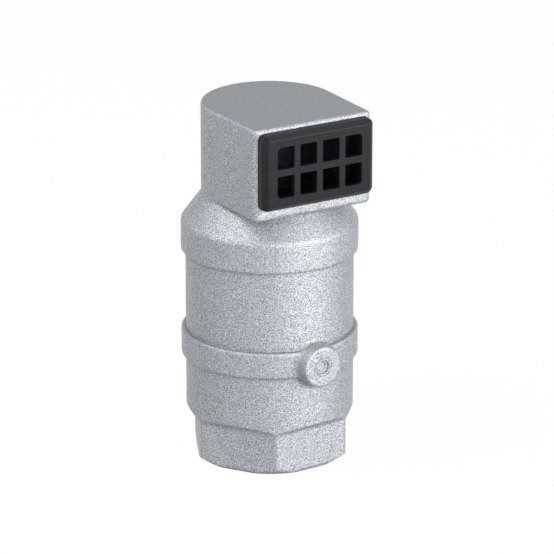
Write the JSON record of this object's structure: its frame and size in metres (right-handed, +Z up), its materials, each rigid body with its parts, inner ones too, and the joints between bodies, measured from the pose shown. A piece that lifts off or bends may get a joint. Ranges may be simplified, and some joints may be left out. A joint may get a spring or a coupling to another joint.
{
  "type": "air release valve",
  "caption": "Cast air release valve with a hexagonal threaded inlet, round barrel and D-shaped hood with a black side grille; inside, a float and a lifting shutter.",
  "frame": {"origin": "centre of the inlet's mouth, on the valve's axis in the plane of its base", "axes": "+Z up along the valve's axis, -Y towards the outlet grille, +X to the right seen from the grille"},
  "size_m": [0.0885, 0.094, 0.1835],
  "materials": {
    "cast_aluminium": "grit-blasted sand casting",
    "grille_plastic": "moulded, satin black",
    "seal_rubber": "moulded nitrile, matt",
    "plug_steel": "zinc plated and blasted",
    "brass": "turned",
    "stainless": "turned stainless steel",
    "cage_plastic": "moulded acetal, off-white",
    "shutter_plastic": "moulded glass-filled nylon, dark grey",
    "float_plastic": "moulded polypropylene, natural"
  },
  "bodies": {
    "casing": {"valve_body": "cast_aluminium", "discharge_head": "cast_aluminium", "outlet_grille": "grille_plastic", "head_o_ring": "seal_rubber", "port_plug": "plug_steel", "float_cage": "cage_plastic", "seat_ring": "brass", "seat_gasket": "seal_rubber", "seat_seal": "seal_rubber", "seal_retainer": "stainless", "retainer_screws": "stainless"},
    "shutter": {"shutter": "shutter_plastic", "nozzle": "brass", "nozzle_washer": "brass", "link_pin": "stainless"},
    "float": {"float_lower_shell": "float_plastic", "float_upper_shell": "float_plastic", "float_stem": "brass", "stem_lock_nut": "brass", "orifice_pad": "seal_rubber"}
  },
  "joints": [
    {"name": "shutter_lift", "type": "slide", "parent": "casing", "child": "shutter", "axis": [0, 0, 1], "range_m": [0, 0.012]},
    {"name": "float_lift", "type": "slide", "parent": "shutter", "child": "float", "axis": [0, 0, 1], "range_m": [0, 0.004]}
  ]
}
